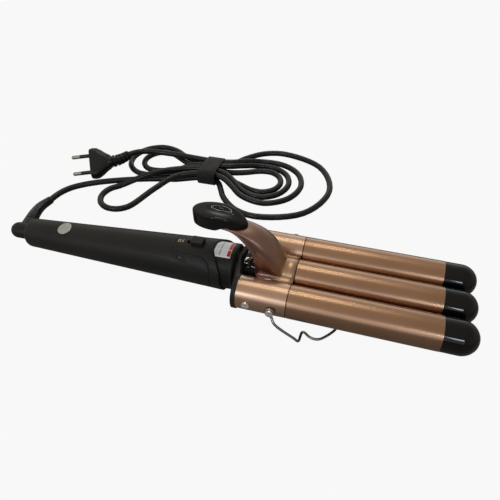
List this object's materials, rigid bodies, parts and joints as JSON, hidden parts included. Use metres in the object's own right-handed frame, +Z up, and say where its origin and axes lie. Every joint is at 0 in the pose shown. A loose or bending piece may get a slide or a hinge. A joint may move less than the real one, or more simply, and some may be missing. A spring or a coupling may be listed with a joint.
{
  "type": "hair waver",
  "caption": "Hair waver with parallel heated barrels on a tapered handle; a sprung lever lifts the middle barrel. Wire stand, swivel cord and flat plug.",
  "frame": {"origin": "centre of the tool's own bounding box at the table it lies on, cord and plug left out", "axes": "+X points from the handle to the barrel tips, +Z up from the table, +Y to the side that the lying cord is on"},
  "size_m": [0.4028, 0.2474, 0.0753],
  "materials": {
    "black_plastic": "satin",
    "dark_plastic": "matte",
    "black_gloss": "gloss",
    "black_rubber": "satin",
    "tie_black": "matte",
    "rose_gold": "satin metallic",
    "gold_coating": "gloss metallic",
    "lever_bronze": "satin metallic",
    "steel": "polished",
    "chrome": "polished",
    "silver": "polished",
    "aluminium": "satin",
    "label": "satin",
    "lens_red": "gloss",
    "board": "matte"
  },
  "bodies": {
    "body": {"handle_upper_shell": "black_plastic", "handle_lower_shell": "black_plastic", "handle_screws": "steel", "front_trim": "black_plastic", "switch_body": "dark_plastic", "circuit_board": "board", "indicator_lens": "lens_red", "badge_disc": "silver", "ribbed_collar": "black_plastic", "blank_label": "label", "yoke": "black_plastic", "near_sleeve": "rose_gold", "far_sleeve": "rose_gold", "near_barrel": "gold_coating", "far_barrel": "gold_coating", "near_tip": "black_gloss", "far_tip": "black_gloss", "near_heater": "aluminium", "far_heater": "aluminium", "sleeve_screws": "steel", "hinge_pin": "steel", "torsion_spring": "steel", "cord_lead": "black_rubber", "cord_hank": "black_rubber", "plug_lead": "black_rubber", "cord_tie": "tie_black", "plug_body": "black_rubber", "plug_pins": "chrome"},
    "lever": {"lever_plate": "lever_bronze", "hinge_bracket": "steel", "middle_sleeve": "rose_gold", "middle_holder": "black_plastic", "middle_screws": "steel", "middle_barrel": "gold_coating", "middle_tip": "black_gloss", "middle_heater": "aluminium", "thumb_pad": "black_gloss", "pad_rivet": "steel"},
    "stand": {"wire_stand": "steel"},
    "knob": {"switch_knob": "black_plastic"},
    "swivel": {"swivel_body": "black_plastic", "strain_relief": "black_rubber"}
  },
  "joints": [
    {"name": "lever_hinge", "type": "hinge", "parent": "body", "child": "lever", "pos_m": [0.03019, 0, 0.033], "axis": [0, -1, 0], "range_deg": [0, 20], "stiffness_Nm_per_rad": 0.45, "springref_deg": -34.38, "deforming": ["torsion_spring"]},
    {"name": "stand_hinge", "type": "hinge", "parent": "body", "child": "stand", "pos_m": [0.05719, 0, 0.0245], "axis": [0, 1, 0], "range_deg": [-8, 95]},
    {"name": "switch_slide", "type": "slide", "parent": "body", "child": "knob", "axis": [-0.9992, 0, -0.0404], "range_m": [0, 0.005]},
    {"name": "cord_swivel", "type": "hinge", "parent": "body", "child": "swivel", "pos_m": [0.01119, 0, 0.02018], "axis": [0.9992, 0, 0.0404], "range_deg": [0, 90], "deforming": ["cord_lead"]}
  ]
}
